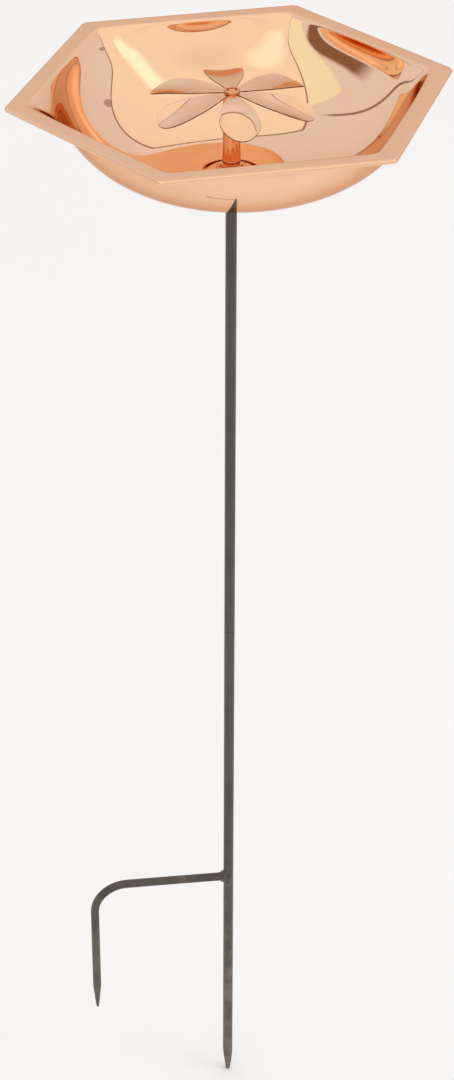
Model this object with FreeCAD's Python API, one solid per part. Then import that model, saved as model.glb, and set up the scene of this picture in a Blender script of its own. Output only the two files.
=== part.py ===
"""Garden bird bath: a copper dish with a hexagonal rim and a flower finial, on a two-piece ground stake.

Units are millimetres and +Z is up. The origin is on the axis of the stake at ground level, which is the
underside of the side prong's arm once the stake has been trodden in. The prong points along -X.
"""
import FreeCAD, Part
import math
import os

Vec = FreeCAD.Vector
UP = Vec(0, 0, 1)
ORIGIN = Vec(0, 0, 0)

# ---- heights above the ground ----
RIM_TOP = 820.0            # upper face of the dish's rim
POLE_JOINT = 292.0         # where the upper rod screws onto the lower rod
SPIKE_DEPTH = 247.0        # how far the main spike reaches below the ground
PRONG_DEPTH = 150.0        # how far the side prong reaches below the ground

# ---- dish ----
RIM_CORNER_R = 184.0       # centre to an outer corner of the rim
RIM_WIDTH = 16.2           # flat rim, measured square to an edge
LIP_DROP = 3.0             # the rim's outer edge is turned down this far
SHEET = 1.0                # thickness of the copper sheet
BODY_R = 147.0             # radius of the round bowl under the rim
BODY_SHIFT = 5.0           # the round bowl is a little off the rim's centre
SHIFT_TURN = -15.0
DISH_DEPTH = 75.0
FLOOR_POWER = 3.2          # higher: flatter floor
WALL_POWER = 1.6           # higher: steeper wall
CORNER_POWER = 8.0         # higher: the corners flare out nearer the rim
SEAT_RISE = 3.0            # the middle of the floor is pressed up into a flat seat
SEAT_R = 17.0
SEAT_FOOT_R = 27.0
DISH_TURN = 5.5            # degrees between the prong's line and a corner of the rim

# ---- poles and studs ----
ROD_D = 9.5
ROD_CHAMFER = 0.7
STUD_D = 6.0
STUD_FIT = 0.05            # radial clearance of a stud in its socket
STUD_GRIP = 16.0           # length of stud held fast in the upper rod
JOINT_REACH = 18.0         # length of the lower stud that enters the lower rod
FINIAL_REACH = 22.0        # length of the upper stud that stands above the dish's seat
SOCKET_SPARE = 2.0         # a socket is this much deeper than its stud is long
POINT_LEN = 26.0           # four-sided point at the end of the main spike
POINT_TIP = 3.6            # width of its blunt tip

# ---- side prong ----
PRONG_D = 8.0
PRONG_REACH = 129.5        # pole axis to the prong's leg
PRONG_BEND_R = 32.0
PRONG_TAPER = 28.0
PRONG_TIP_D = 2.6
WELD_D = 14.0              # weld bead where it lies on the pole
WELD_LEN = 9.0             # weld bead along the arm, from the pole's axis outwards

# ---- hardware under and over the dish's seat ----
HOLE_SPARE = 1.2           # the hole in the dish is this much wider than the stud
WASHER_SPARE = 0.6         # and the holes in washers and seals this much
SEAL_T = 2.0
SEAL_D = 29.0              # lower seal, between the dish and the support washer
SUPPORT_WASHER_T = 2.0
SUPPORT_WASHER_D = 31.0
COLLAR_D = 19.0            # collar welded to the top of the upper rod
COLLAR_H = 8.0
FINIAL_SEAL_D = 22.0
FINIAL_SEAL_T = 1.5

# ---- stem of the flower ----
STEM_D = 14.0
STEM_WALL = 1.0
BASE_D = 25.0
BASE_T = 2.5
BASE_COLLAR_D = 17.0
BASE_COLLAR_H = 2.0
INSERT_LEN = 26.0
CAP_T = 2.0
CAP_SPIGOT = 8.0
PETAL_DROP = 4.0           # rim plane down to the top of the petals' roots
HUB_D = 13.0
HUB_T = 2.4
HUB_RECESS_D = 8.4
HUB_RECESS = 1.3
SCREW_D = 4.0
SCREW_HEAD_D = 7.0
SCREW_HEAD_H = 2.2
SCREW_LEN = 9.0
SCREW_CLEAR = 0.1

# ---- petals ----
PETALS = 6
PETAL_SHEET = 0.9
PETAL_ROOT_R = 4.6
PETAL_LEN = 70.5           # centre of the flower to a petal's tip
PETAL_ROOT_W = 4.6
PETAL_W = 32.0
PETAL_DROOP = 11.0
PETAL_CUP = 3.4            # rise of a petal's sides over its middle
PETAL_TURN = 30.0          # degrees, azimuth of the first petal

# ---- worked out from the sizes above ----
RIM_SIDES = 6
HALF_SIDE = math.radians(180.0 / RIM_SIDES)
RIM_CORNER_IN = RIM_CORNER_R - RIM_WIDTH / math.cos(HALF_SIDE)
LIP_CORNER_IN = RIM_CORNER_R - SHEET / math.cos(HALF_SIDE)
SEAT_TOP = RIM_TOP - DISH_DEPTH + SEAT_RISE
SEAT_UNDER = SEAT_TOP - SHEET
SUPPORT_TOP = SEAT_UNDER - SEAL_T
ROD_TOP = SUPPORT_TOP - SUPPORT_WASHER_T
BASE_UNDER = SEAT_TOP + FINIAL_SEAL_T
PETAL_TOP = RIM_TOP - PETAL_DROP
CAP_TOP = PETAL_TOP - PETAL_SHEET
TUBE_TOP = CAP_TOP - CAP_T
STEM_BORE_D = STEM_D - 2.0 * STEM_WALL
SOCKET_D = STUD_D + 2.0 * STUD_FIT
HOLE_D = STUD_D + HOLE_SPARE
WASHER_HOLE_D = STUD_D + WASHER_SPARE
ARM_Z = PRONG_D / 2.0


# ---- small helpers ----
def cylinder(diameter, bottom, top):
    return Part.makeCylinder(diameter / 2.0, top - bottom, Vec(0, 0, bottom), UP)


def ring(outer, inner, bottom, top):
    return cylinder(outer, bottom, top).cut(cylinder(inner, bottom - 1.0, top + 1.0))


def circle_edges(solid, z, radius):
    """The circular edges of a solid at one height with one radius."""
    return [e for e in solid.Edges
            if isinstance(e.Curve, Part.Circle)
            and abs(e.Curve.Center.z - z) < 1e-6
            and abs(e.Curve.Radius - radius) < 1e-6]


def revolved(points):
    """A solid of revolution about Z from (radius, height) points."""
    corners = [Vec(r, 0, z) for r, z in points]
    wire = Part.makePolygon(corners + corners[:1])
    return Part.Face(wire).revolve(ORIGIN, UP, 360)


def turned(shape, degrees):
    copy = shape.copy()
    copy.rotate(ORIGIN, UP, degrees)
    return copy


def hexagon(corner_r, z):
    step = 360.0 / RIM_SIDES
    corners = []
    for k in range(RIM_SIDES):
        angle = math.radians(DISH_TURN + step * k)
        corners.append(Vec(corner_r * math.cos(angle), corner_r * math.sin(angle), z))
    return corners


def closed_wire(corners):
    return Part.makePolygon(corners + corners[:1])


def ring_face(outer_wire, inner_wire):
    return Part.makeFace([outer_wire, inner_wire], "Part::FaceMakerBullseye")


def solid_from(faces):
    """Sew faces that share their edges into one closed solid."""
    shell = Part.makeShell(faces)
    shell.sewShape()
    solid = Part.makeSolid(Part.Shell(shell.Faces))
    if solid.Volume < 0:
        solid.reverse()
    return solid


# ---- dish ----
def smooth_step(t):
    t = min(1.0, max(0.0, t))
    return t * t * (3.0 - 2.0 * t)


def level(s):
    """How far below the rim a level line lies, as a share of the depth: 1 at the centre, 0 at the rim."""
    return max(0.0, math.cos(s * math.pi / 2.0)) ** (2.0 / WALL_POWER)


def seat_start(skin):
    """The parameter of the level line that bounds the flat seat."""
    share = SEAT_R / (BODY_R + BODY_SHIFT + skin)
    return math.asin(share ** (FLOOR_POWER / 2.0)) / (math.pi / 2.0)


def dish_point(s, phi, turn, skin):
    """A point of the dish: s runs from 0 at the centre to 1 at the rim, phi is the angle from mid-edge.

    turn is the angle from +X. skin is 0 for the inner face and SHEET for the outer face. Level lines are
    circles low down and become hexagons at the rim, so the six corners flare out of a round bowl. The round
    bowl sits a little to one side of the rim, as in a hand-pressed dish.
    """
    to_edge = (RIM_CORNER_IN * math.cos(HALF_SIDE) + skin) / math.cos(phi)
    body = BODY_R + skin + BODY_SHIFT * math.cos(turn - math.radians(SHIFT_TURN))
    squareness = (1.0 - level(s)) ** CORNER_POWER
    radius = body * math.sin(s * math.pi / 2.0) ** (2.0 / FLOOR_POWER) + squareness * (to_edge - body)
    rise = SEAT_RISE * smooth_step((SEAT_FOOT_R + skin - radius) / (SEAT_FOOT_R - SEAT_R))
    height = RIM_TOP - skin - DISH_DEPTH * level(s) / level(seat_start(skin)) + rise
    return radius, height


def smooth_patch(grid):
    """A cubic surface held by a grid of control points.

    Its borders depend only on the outermost points, so neighbouring patches meet exactly.
    """
    degree = 3
    spans = [len(grid) - degree, len(grid[0]) - degree]
    knots = [[float(i) for i in range(n + 1)] for n in spans]
    multiplicities = [[degree + 1] + [1] * (n - 1) + [degree + 1] for n in spans]
    surface = Part.BSplineSurface()
    surface.buildFromPolesMultsKnots(grid, multiplicities[0], multiplicities[1], knots[0], knots[1],
                                     False, False, degree, degree)
    return surface.toShape()


def dish_patch(sector, skin):
    """One sixth of the dish's inner or outer face, from the edge of the flat seat to the rim."""
    rows, columns = 48, 24
    first = seat_start(skin)
    grid = []
    for i in range(rows + 1):
        s = first + (1.0 - first) * (i / rows) ** 1.6
        line = []
        for j in range(columns + 1):
            phi = HALF_SIDE * (2.0 * j / columns - 1.0)
            turn = math.radians(DISH_TURN) + HALF_SIDE * (2 * sector + 1) + phi
            radius, height = dish_point(s, phi, turn, skin)
            line.append(Vec(radius * math.cos(turn), radius * math.sin(turn), height))
        grid.append(line)
    return smooth_patch(grid)


def edge_at(face, height, inner):
    """The edge of a patch that runs along the seat (inner) or along the rim."""
    edges = [e for e in face.Edges
             if all(abs(v.Point.z - height) < 1e-4 for v in e.Vertexes)]
    edges.sort(key=lambda e: e.CenterOfMass.x ** 2 + e.CenterOfMass.y ** 2)
    return edges[0] if inner else edges[-1]


def dish():
    inside = [dish_patch(k, 0.0) for k in range(RIM_SIDES)]
    outside = [dish_patch(k, SHEET) for k in range(RIM_SIDES)]
    faces = inside + outside
    for skin, height in ((inside, SEAT_TOP), (outside, SEAT_UNDER)):
        seat_edge = [edge_at(face, height, True) for face in skin]
        faces.append(Part.makeFace([Part.Wire(Part.__sortEdges__(seat_edge))], "Part::FaceMakerBullseye"))

    top = [edge_at(face, RIM_TOP, False) for face in inside]
    under = [edge_at(face, RIM_TOP - SHEET, False) for face in outside]
    faces.append(ring_face(closed_wire(hexagon(RIM_CORNER_R, RIM_TOP)), Part.Wire(Part.__sortEdges__(top))))
    faces.append(ring_face(closed_wire(hexagon(LIP_CORNER_IN, RIM_TOP - SHEET)),
                           Part.Wire(Part.__sortEdges__(under))))

    lip_under = RIM_TOP - LIP_DROP
    faces.append(ring_face(closed_wire(hexagon(RIM_CORNER_R, lip_under)),
                           closed_wire(hexagon(LIP_CORNER_IN, lip_under))))
    for corner_r, high, low in ((RIM_CORNER_R, RIM_TOP, lip_under),
                                (LIP_CORNER_IN, RIM_TOP - SHEET, lip_under)):
        above, below = hexagon(corner_r, high), hexagon(corner_r, low)
        for k in range(RIM_SIDES):
            n = (k + 1) % RIM_SIDES
            faces.append(Part.Face(closed_wire([above[k], above[n], below[n], below[k]])))
    return solid_from(faces).cut(cylinder(HOLE_D, SEAT_UNDER - 1.0, SEAT_TOP + 1.0))


# ---- flower ----
def petal_height(x, y):
    """Height of a petal's upper face: it droops outwards and its sides curl up like a spoon's."""
    along = (x - PETAL_ROOT_R) / (PETAL_LEN - PETAL_ROOT_R)
    across = y / (PETAL_W / 2.0)
    return PETAL_TOP - PETAL_DROOP * along ** 2 + PETAL_CUP * along * across ** 2


def petal():
    """A spoon-shaped leaf of thin sheet, cut to a paddle outline, pointing along +X."""
    rows, columns = 12, 8
    spare = 3.0
    skins = []
    for drop in (0.0, PETAL_SHEET):
        grid = []
        for i in range(rows + 1):
            x = PETAL_ROOT_R - spare + (PETAL_LEN - PETAL_ROOT_R + 2 * spare) * i / rows
            line = []
            for j in range(columns + 1):
                y = (PETAL_W / 2.0 + spare) * (2.0 * j / columns - 1.0)
                line.append(Vec(x, y, petal_height(max(x, PETAL_ROOT_R), y) - drop))
            grid.append(line)
        surface = Part.BSplineSurface()
        surface.interpolate(grid)
        skins.append(surface.toShape())
    faces = list(skins)
    for high, low in zip(skins[0].Edges, skins[1].Edges):
        faces.append(Part.makeRuledSurface(high, low))
    blank = solid_from(faces)

    shoulder = PETAL_LEN - PETAL_W / 2.0 * 1.15
    half = PETAL_W / 2.0
    side = [Vec(PETAL_ROOT_R, PETAL_ROOT_W / 2.0, 0),
            Vec(PETAL_ROOT_R + 0.35 * (shoulder - PETAL_ROOT_R), 0.52 * half, 0),
            Vec(shoulder - 8.0, 0.94 * half, 0),
            Vec(shoulder, half, 0),
            Vec(shoulder + 0.66 * (PETAL_LEN - shoulder), 0.77 * half, 0),
            Vec(PETAL_LEN, 0, 0)]
    mirrored = [Vec(p.x, -p.y, 0) for p in reversed(side[:-1])]
    outline = Part.BSplineCurve()
    outline.interpolate(side + mirrored)
    root = Part.makeLine(mirrored[-1], side[0])
    face = Part.Face(Part.Wire([outline.toShape(), root]))
    face.translate(Vec(0, 0, PETAL_TOP - 40.0))
    cutter = face.extrude(Vec(0, 0, 80.0))
    return blank.common(cutter).Solids[0]


def stem_tube():
    return ring(STEM_D, STEM_BORE_D, BASE_UNDER + BASE_T, TUBE_TOP)


def stem_base():
    """Foot flange with a rounded edge and a low collar that the tube stands in."""
    foot = cylinder(BASE_D, BASE_UNDER, BASE_UNDER + BASE_T)
    edges = circle_edges(foot, BASE_UNDER + BASE_T, BASE_D / 2.0)
    foot = foot.makeFillet(BASE_T * 0.55, edges)
    collar = ring(BASE_COLLAR_D, STEM_D, BASE_UNDER + BASE_T, BASE_UNDER + BASE_T + BASE_COLLAR_H)
    return foot.fuse(collar).removeSplitter().cut(cylinder(STEM_BORE_D, BASE_UNDER - 1, BASE_UNDER + 20))


def stem_insert():
    """Tapped plug brazed into the foot of the stem: it screws down on the pole's upper stud."""
    return ring(STEM_BORE_D, SOCKET_D, BASE_UNDER, BASE_UNDER + INSERT_LEN)


def stem_cap():
    """Plug in the top of the tube, with a tapped hole for the flower's screw."""
    disc = cylinder(STEM_D, TUBE_TOP, CAP_TOP)
    spigot = cylinder(STEM_BORE_D, TUBE_TOP - CAP_SPIGOT, TUBE_TOP)
    bore = cylinder(SCREW_D, TUBE_TOP - CAP_SPIGOT - 1.0, CAP_TOP + 1.0)
    return disc.fuse(spigot).removeSplitter().cut(bore)


def hub():
    """Small cupped washer that clamps the six petal roots."""
    body = cylinder(HUB_D, PETAL_TOP, PETAL_TOP + HUB_T)
    body = body.makeFillet(0.8, circle_edges(body, PETAL_TOP + HUB_T, HUB_D / 2.0))
    recess = cylinder(HUB_RECESS_D, PETAL_TOP + HUB_T - HUB_RECESS, PETAL_TOP + HUB_T + 1.0)
    bore = cylinder(SCREW_D + 2 * SCREW_CLEAR, PETAL_TOP - 1.0, PETAL_TOP + HUB_T + 1.0)
    return body.cut(recess).cut(bore)


def hub_screw():
    """Round-headed screw that holds the hub and petals to the stem."""
    seat = PETAL_TOP + HUB_T - HUB_RECESS
    shank = cylinder(SCREW_D, seat - SCREW_LEN, seat + 0.5)
    head_r = SCREW_HEAD_D / 2.0
    ball_r = (head_r ** 2 + SCREW_HEAD_H ** 2) / (2.0 * SCREW_HEAD_H)
    ball = Part.makeSphere(ball_r, Vec(0, 0, seat + SCREW_HEAD_H - ball_r))
    head = ball.common(cylinder(SCREW_HEAD_D + 1.0, seat, seat + SCREW_HEAD_H + 1.0))
    return shank.fuse(head)


# ---- upper pole ----
def rod(bottom, top):
    body = cylinder(ROD_D, bottom, top)
    edges = circle_edges(body, bottom, ROD_D / 2.0) + circle_edges(body, top, ROD_D / 2.0)
    return body.makeChamfer(ROD_CHAMFER, edges)


def upper_rod():
    body = rod(POLE_JOINT, ROD_TOP)
    top_hole = cylinder(STUD_D, ROD_TOP - STUD_GRIP, ROD_TOP + 1.0)
    end_hole = cylinder(STUD_D, POLE_JOINT - 1.0, POLE_JOINT + STUD_GRIP)
    return body.cut(top_hole).cut(end_hole)


def bowl_stud():
    """Stud through the seat of the dish, fast in the top of the upper rod."""
    stud = cylinder(STUD_D, ROD_TOP - STUD_GRIP, SEAT_TOP + FINIAL_REACH)
    return stud.makeChamfer(ROD_CHAMFER, circle_edges(stud, SEAT_TOP + FINIAL_REACH, STUD_D / 2.0))


def joint_stud():
    """Stud fast in the foot of the upper rod, which screws into the lower rod."""
    stud = cylinder(STUD_D, POLE_JOINT - JOINT_REACH, POLE_JOINT + STUD_GRIP)
    return stud.makeChamfer(ROD_CHAMFER, circle_edges(stud, POLE_JOINT - JOINT_REACH, STUD_D / 2.0))


def support_collar():
    """Turned collar at the top of the upper rod, tapered towards the rod."""
    low = ROD_TOP - COLLAR_H
    return revolved([(ROD_D / 2.0, low), (ROD_D / 2.0 + 1.2, low), (COLLAR_D / 2.0, ROD_TOP - 3.0),
                     (COLLAR_D / 2.0, ROD_TOP), (ROD_D / 2.0, ROD_TOP)])


# ---- stake ----
def lower_rod():
    """Lower rod with a socket in its top and a four-sided point at its foot."""
    foot = -SPIKE_DEPTH
    body = cylinder(ROD_D, foot, POLE_JOINT)
    body = body.makeChamfer(ROD_CHAMFER, circle_edges(body, POLE_JOINT, ROD_D / 2.0))
    sections = []
    for side, z in ((ROD_D, foot + POINT_LEN), (POINT_TIP, foot)):
        half = side / 2.0
        sections.append(closed_wire([Vec(half, half, z), Vec(-half, half, z),
                                     Vec(-half, -half, z), Vec(half, -half, z)]))
    point = body.common(Part.makeLoft(sections, True, True))
    shank = body.common(cylinder(2 * ROD_D, foot + POINT_LEN, POLE_JOINT + 1.0))
    socket = cylinder(SOCKET_D, POLE_JOINT - JOINT_REACH - SOCKET_SPARE, POLE_JOINT + 1.0)
    return shank.fuse(point).removeSplitter().cut(socket)


def prong():
    """Round bar that leaves the pole level, bends down and ends in a tapered point."""
    start = Vec(-ROD_D / 2.0, 0, ARM_Z)
    bend_from = Vec(-(PRONG_REACH - PRONG_BEND_R), 0, ARM_Z)
    diagonal = PRONG_BEND_R * math.sqrt(0.5)
    middle = Vec(bend_from.x - diagonal, 0, ARM_Z - PRONG_BEND_R + diagonal)
    bend_to = Vec(-PRONG_REACH, 0, ARM_Z - PRONG_BEND_R)
    taper_z = -PRONG_DEPTH + PRONG_TAPER
    path = Part.Wire([Part.makeLine(start, bend_from),
                      Part.Arc(bend_from, middle, bend_to).toShape(),
                      Part.makeLine(bend_to, Vec(-PRONG_REACH, 0, taper_z))])
    section = Part.Wire(Part.makeCircle(PRONG_D / 2.0, start, Vec(-1, 0, 0)))
    bar = path.makePipeShell([section], True, True)
    # the arm's root is scribed to the round pole
    bar = bar.fuse(Part.makeCylinder(PRONG_D / 2.0, ROD_D / 2.0, Vec(-ROD_D / 2.0, 0, ARM_Z), Vec(1, 0, 0)))
    bar = bar.cut(cylinder(ROD_D, ARM_Z - 20.0, ARM_Z + 20.0))
    tip_r = PRONG_TIP_D / 2.0
    taper = Part.makeCone(tip_r, PRONG_D / 2.0, PRONG_TAPER - tip_r,
                          Vec(-PRONG_REACH, 0, -PRONG_DEPTH + tip_r), UP)
    nose = Part.makeSphere(tip_r, Vec(-PRONG_REACH, 0, -PRONG_DEPTH + tip_r))
    return bar.fuse([taper, nose]).removeSplitter()


def weld_bead():
    """Fillet of weld metal around the arm where it meets the pole."""
    cone = Part.makeCone(WELD_D / 2.0, PRONG_D / 2.0 + 0.3, WELD_LEN, Vec(0, 0, ARM_Z), Vec(-1, 0, 0))
    arm = Part.makeCylinder(PRONG_D / 2.0, WELD_LEN + 2.0, Vec(1.0, 0, ARM_Z), Vec(-1, 0, 0))
    return cone.cut(cylinder(ROD_D, ARM_Z - 20.0, ARM_Z + 20.0)).cut(arm)


def build():
    parts = {
        "lower_rod": lower_rod(),
        "prong": prong(),
        "weld_bead": weld_bead(),
        "upper_rod": upper_rod(),
        "joint_stud": joint_stud(),
        "bowl_stud": bowl_stud(),
        "support_collar": support_collar(),
        "support_washer": ring(SUPPORT_WASHER_D, WASHER_HOLE_D, ROD_TOP, SUPPORT_TOP),
        "bowl": dish(),
        "bowl_seal": ring(SEAL_D, WASHER_HOLE_D, SUPPORT_TOP, SEAT_UNDER),
        "finial_seal": ring(FINIAL_SEAL_D, WASHER_HOLE_D, SEAT_TOP, BASE_UNDER),
        "stem_base": stem_base(),
        "stem_tube": stem_tube(),
        "stem_insert": stem_insert(),
        "stem_cap": stem_cap(),
        "flower_hub": hub(),
        "hub_screw": hub_screw(),
    }
    leaf = petal()
    for k in range(PETALS):
        parts["petal_%d" % (k + 1)] = turned(leaf, PETAL_TURN + 360.0 / PETALS * k)
    return parts


os.makedirs("parts", exist_ok=True)
for name, shape in build().items():
    box = shape.BoundBox
    print("%-15s solids %d valid %s volume %9.0f  z %7.1f to %7.1f"
          % (name, len(shape.Solids), shape.isValid(), shape.Volume, box.ZMin, box.ZMax))
    shape.exportStep("parts/%s.step" % name)
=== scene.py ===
# %% [markdown]
# # A copper bird bath, made around its measured frame
#
# The bird bath is a mirror-bright copper dish with a six-sided rim and a flower in its middle, carried by a
# thin dark rod that is pushed into the ground. This lesson makes every piece that shows as a fine mesh, and
# gives every piece a finish made of shader nodes.
#
# The sizes that matter for fit come from the frame. Everything is in metres, +Z is up, and the origin is on
# the stake's axis at ground level.

# %% Load the frame
import math

import bmesh
import bpy
from mathutils import Matrix, Vector


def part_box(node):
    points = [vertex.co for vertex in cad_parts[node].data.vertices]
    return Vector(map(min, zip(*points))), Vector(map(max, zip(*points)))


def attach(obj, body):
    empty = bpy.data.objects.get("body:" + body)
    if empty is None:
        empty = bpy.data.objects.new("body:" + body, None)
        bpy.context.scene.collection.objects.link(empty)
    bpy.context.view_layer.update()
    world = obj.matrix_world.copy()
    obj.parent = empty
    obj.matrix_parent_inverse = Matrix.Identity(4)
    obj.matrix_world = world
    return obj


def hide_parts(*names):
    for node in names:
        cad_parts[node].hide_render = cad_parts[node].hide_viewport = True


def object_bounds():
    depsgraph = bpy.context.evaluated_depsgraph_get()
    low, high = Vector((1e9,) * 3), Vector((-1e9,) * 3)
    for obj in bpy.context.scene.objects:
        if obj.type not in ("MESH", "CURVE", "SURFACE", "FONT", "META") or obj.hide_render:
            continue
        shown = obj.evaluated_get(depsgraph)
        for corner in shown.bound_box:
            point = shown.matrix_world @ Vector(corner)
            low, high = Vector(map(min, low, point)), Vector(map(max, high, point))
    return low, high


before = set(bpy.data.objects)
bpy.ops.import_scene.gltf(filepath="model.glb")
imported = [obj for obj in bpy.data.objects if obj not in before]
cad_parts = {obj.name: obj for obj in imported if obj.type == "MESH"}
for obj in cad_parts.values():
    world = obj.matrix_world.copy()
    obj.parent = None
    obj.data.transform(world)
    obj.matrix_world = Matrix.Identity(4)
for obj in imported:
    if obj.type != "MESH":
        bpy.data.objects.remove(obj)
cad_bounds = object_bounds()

MM = 0.001
UP = Vector((0, 0, 1))
low, high = cad_bounds
print("frame box, mm:", [round((b - a) / MM) for a, b in zip(low, high)])

# %% [markdown]
# ## Reading sizes from the frame
#
# A piece that stands for a CAD node has to sit exactly where that node does. The node's box gives its lowest
# and highest corners, and that is all a turned part needs: a height range and a radius.

# %% Heights and radii from the nodes' boxes
def height_range(node):
    """Lowest and highest Z of a node."""
    a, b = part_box(node)
    return a[2], b[2]


def radius_of(node):
    """Largest radius of a round node that stands on the axis."""
    a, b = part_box(node)
    return (b[0] - a[0]) / 2


RIM_TOP = height_range("bowl")[1]
ROD_R = radius_of("upper_rod")
POLE_JOINT, ROD_TOP = height_range("upper_rod")
SPIKE_END = height_range("lower_rod")[0]
SEAT_TOP = height_range("finial_seal")[0]
PETAL_TOP = height_range("flower_hub")[0]
STEM_R = radius_of("stem_tube")
print("rim at %.0f mm, rods of radius %.2f mm" % (RIM_TOP / MM, ROD_R / MM))

# %% [markdown]
# ## Shader maths written as expressions
#
# A finish is a small formula: a colour times a mask, a roughness plus some noise. Node by node that is hard
# to read, so one class wraps a socket and lets Python's own + - * ** build the Math nodes. A second class
# holds the material and makes any other node from its type, its settings and its inputs.

# %% A socket that does arithmetic
class Signal:
    """A number that varies over a surface. Arithmetic on it adds Math nodes."""

    def __init__(self, paint, socket):
        self.paint = paint
        self.socket = socket

    def maths(self, operation, *values):
        made = self.paint.node("ShaderNodeMath", {"operation": operation}, dict(enumerate(values)))
        return Signal(self.paint, made.outputs[0])

    def __add__(self, other):
        return self.maths("ADD", self, other)

    def __sub__(self, other):
        return self.maths("SUBTRACT", self, other)

    def __rsub__(self, other):
        return self.maths("SUBTRACT", other, self)

    def __mul__(self, other):
        return self.maths("MULTIPLY", self, other)

    def __pow__(self, other):
        return self.maths("POWER", self, other)

    def between(self, start, end):
        """0 below start, 1 above end, and smooth in between."""
        made = self.paint.node("ShaderNodeMapRange", {"interpolation_type": "SMOOTHSTEP"},
                               {"Value": self, "From Min": start, "From Max": end})
        return Signal(self.paint, made.outputs["Result"])

    __radd__ = __add__
    __rmul__ = __mul__


# %% A material under construction
class Paint:
    """One material: a Principled shader and the nodes that feed it."""

    def __init__(self, name):
        self.material = bpy.data.materials.new(name)
        self.material.use_nodes = True
        self.nodes = self.material.node_tree.nodes
        self.links = self.material.node_tree.links
        self.shader = self.nodes["Principled BSDF"]
        self.place = self.node("ShaderNodeTexCoord").outputs["Object"]

    def node(self, kind, settings=None, inputs=None):
        """Any node: its settings first, then a value or a link for each named or numbered input."""
        made = self.nodes.new(kind)
        for key, value in (settings or {}).items():
            setattr(made, key, value)
        self.feed(made, inputs or {})
        return made

    def feed(self, node, inputs):
        for key, value in inputs.items():
            socket = node.inputs[key]
            if isinstance(value, Signal):
                self.links.new(value.socket, socket)
            elif isinstance(value, bpy.types.NodeSocket):
                self.links.new(value, socket)
            else:
                socket.default_value = value

    def noise(self, scale, detail=3.0, roughness=0.5, distortion=0.0, place=None):
        """Cloudy noise from 0 to 1. At scale 9 its patches are about a ninth of a metre wide."""
        made = self.node("ShaderNodeTexNoise", {}, {
            "Vector": place or self.place, "Scale": scale, "Detail": detail,
            "Roughness": roughness, "Distortion": distortion})
        return Signal(self, made.outputs[0])

    def axes(self):
        """The piece's own X, Y and Z as signals."""
        split = self.node("ShaderNodeSeparateXYZ", {}, {"Vector": self.place})
        return [Signal(self, out) for out in split.outputs]

    def stretched(self, x, y, z):
        """Coordinates stretched along the axes, for grain that runs one way."""
        made = self.node("ShaderNodeMapping", {}, {"Vector": self.place, "Scale": (x, y, z)})
        return made.outputs["Vector"]

    def mix(self, mask, colour_a, colour_b):
        """colour_a where the mask is 0 and colour_b where it is 1."""
        made = self.node("ShaderNodeMix", {"data_type": "RGBA"}, {0: mask, 6: colour_a, 7: colour_b})
        return made.outputs[2]

    def bump(self, height, distance, strength=1.0, under=None):
        """Turns a height signal into a surface normal."""
        inputs = {"Height": height, "Distance": distance, "Strength": strength}
        if under is not None:
            inputs["Normal"] = under
        return self.node("ShaderNodeBump", {}, inputs).outputs["Normal"]

    def finish(self, **inputs):
        """Sets the Principled shader's inputs, with _ standing for a space."""
        self.feed(self.shader, {key.replace("_", " "): value for key, value in inputs.items()})
        return self.material


def rgb(red, green, blue):
    """A linear colour with full alpha."""
    return (red, green, blue, 1.0)


# %% [markdown]
# ## Polished copper
#
# The dish is copper sheet that has been buffed to a mirror. Pure copper reflects nearly all red, about half
# the green and a third of the blue, so one reflection looks cream-pink and two or three look orange and then
# deep brown. That means the colour play inside the dish needs no paint: it comes from the true base colour,
# a very low roughness and light that bounces between the walls.
#
# What has to be added is what a hand-buffed sheet shows up close: faint rings left by the buffing wheel,
# a slow waviness from the pressing, a few smudges where hands have held it, and the first pink tarnish.
#
# Seen at a grazing angle, a metal's reflection pales. The Specular Tint sets that colour. Here it is darker
# than clean copper's, a choice of look that keeps the dish's outline and its repeated reflections copper.
# The petals' cut edges are thin and brown, as copper is where heat or hands have darkened it, so they get a
# finish of their own.

# %% The edge tint that all the copper shares
GRAZING = rgb(0.74, 0.52, 0.40)


# %% Copper for the dish
def copper_dish():
    paint = Paint("polished copper sheet")
    x, y, z = paint.axes()
    radius = (x * x + y * y) ** 0.5
    tarnish = paint.noise(9.0, 4.0, 0.55).between(0.46, 0.74)
    smudge = paint.noise(26.0, 5.0, 0.6, 0.6).between(0.56, 0.72)
    rings = paint.node("ShaderNodeCombineXYZ", {}, {"X": radius * 900.0, "Y": z * 300.0}).outputs[0]
    wheel = paint.noise(1.0, 2.0, 0.5, 0.0, rings)
    colour = paint.mix(tarnish, rgb(0.93, 0.61, 0.41), rgb(0.90, 0.565, 0.40))
    waviness = paint.bump(paint.noise(7.0, 1.0, 0.4), 2.2 * MM)
    grain = paint.bump(wheel, 0.003 * MM, 1.0, waviness)
    return paint.finish(Base_Color=colour, Metallic=1.0, Specular_Tint=GRAZING,
                        Roughness=smudge * 0.035 + wheel * 0.012 + tarnish * 0.015 + 0.018,
                        Normal=grain)


# %% Copper for the petals
def copper_petals():
    paint = Paint("polished copper petals")
    warmth = paint.noise(22.0, 3.0, 0.5).between(0.4, 0.7)
    smudge = paint.noise(70.0, 4.0, 0.6, 0.4).between(0.55, 0.75)
    colour = paint.mix(warmth, rgb(0.93, 0.62, 0.43), rgb(0.90, 0.56, 0.38))
    beaten = paint.bump(paint.noise(30.0, 1.0, 0.4), 0.6 * MM)
    return paint.finish(Base_Color=colour, Metallic=1.0, Specular_Tint=GRAZING,
                        Roughness=smudge * 0.05 + 0.035, Normal=beaten)


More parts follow.
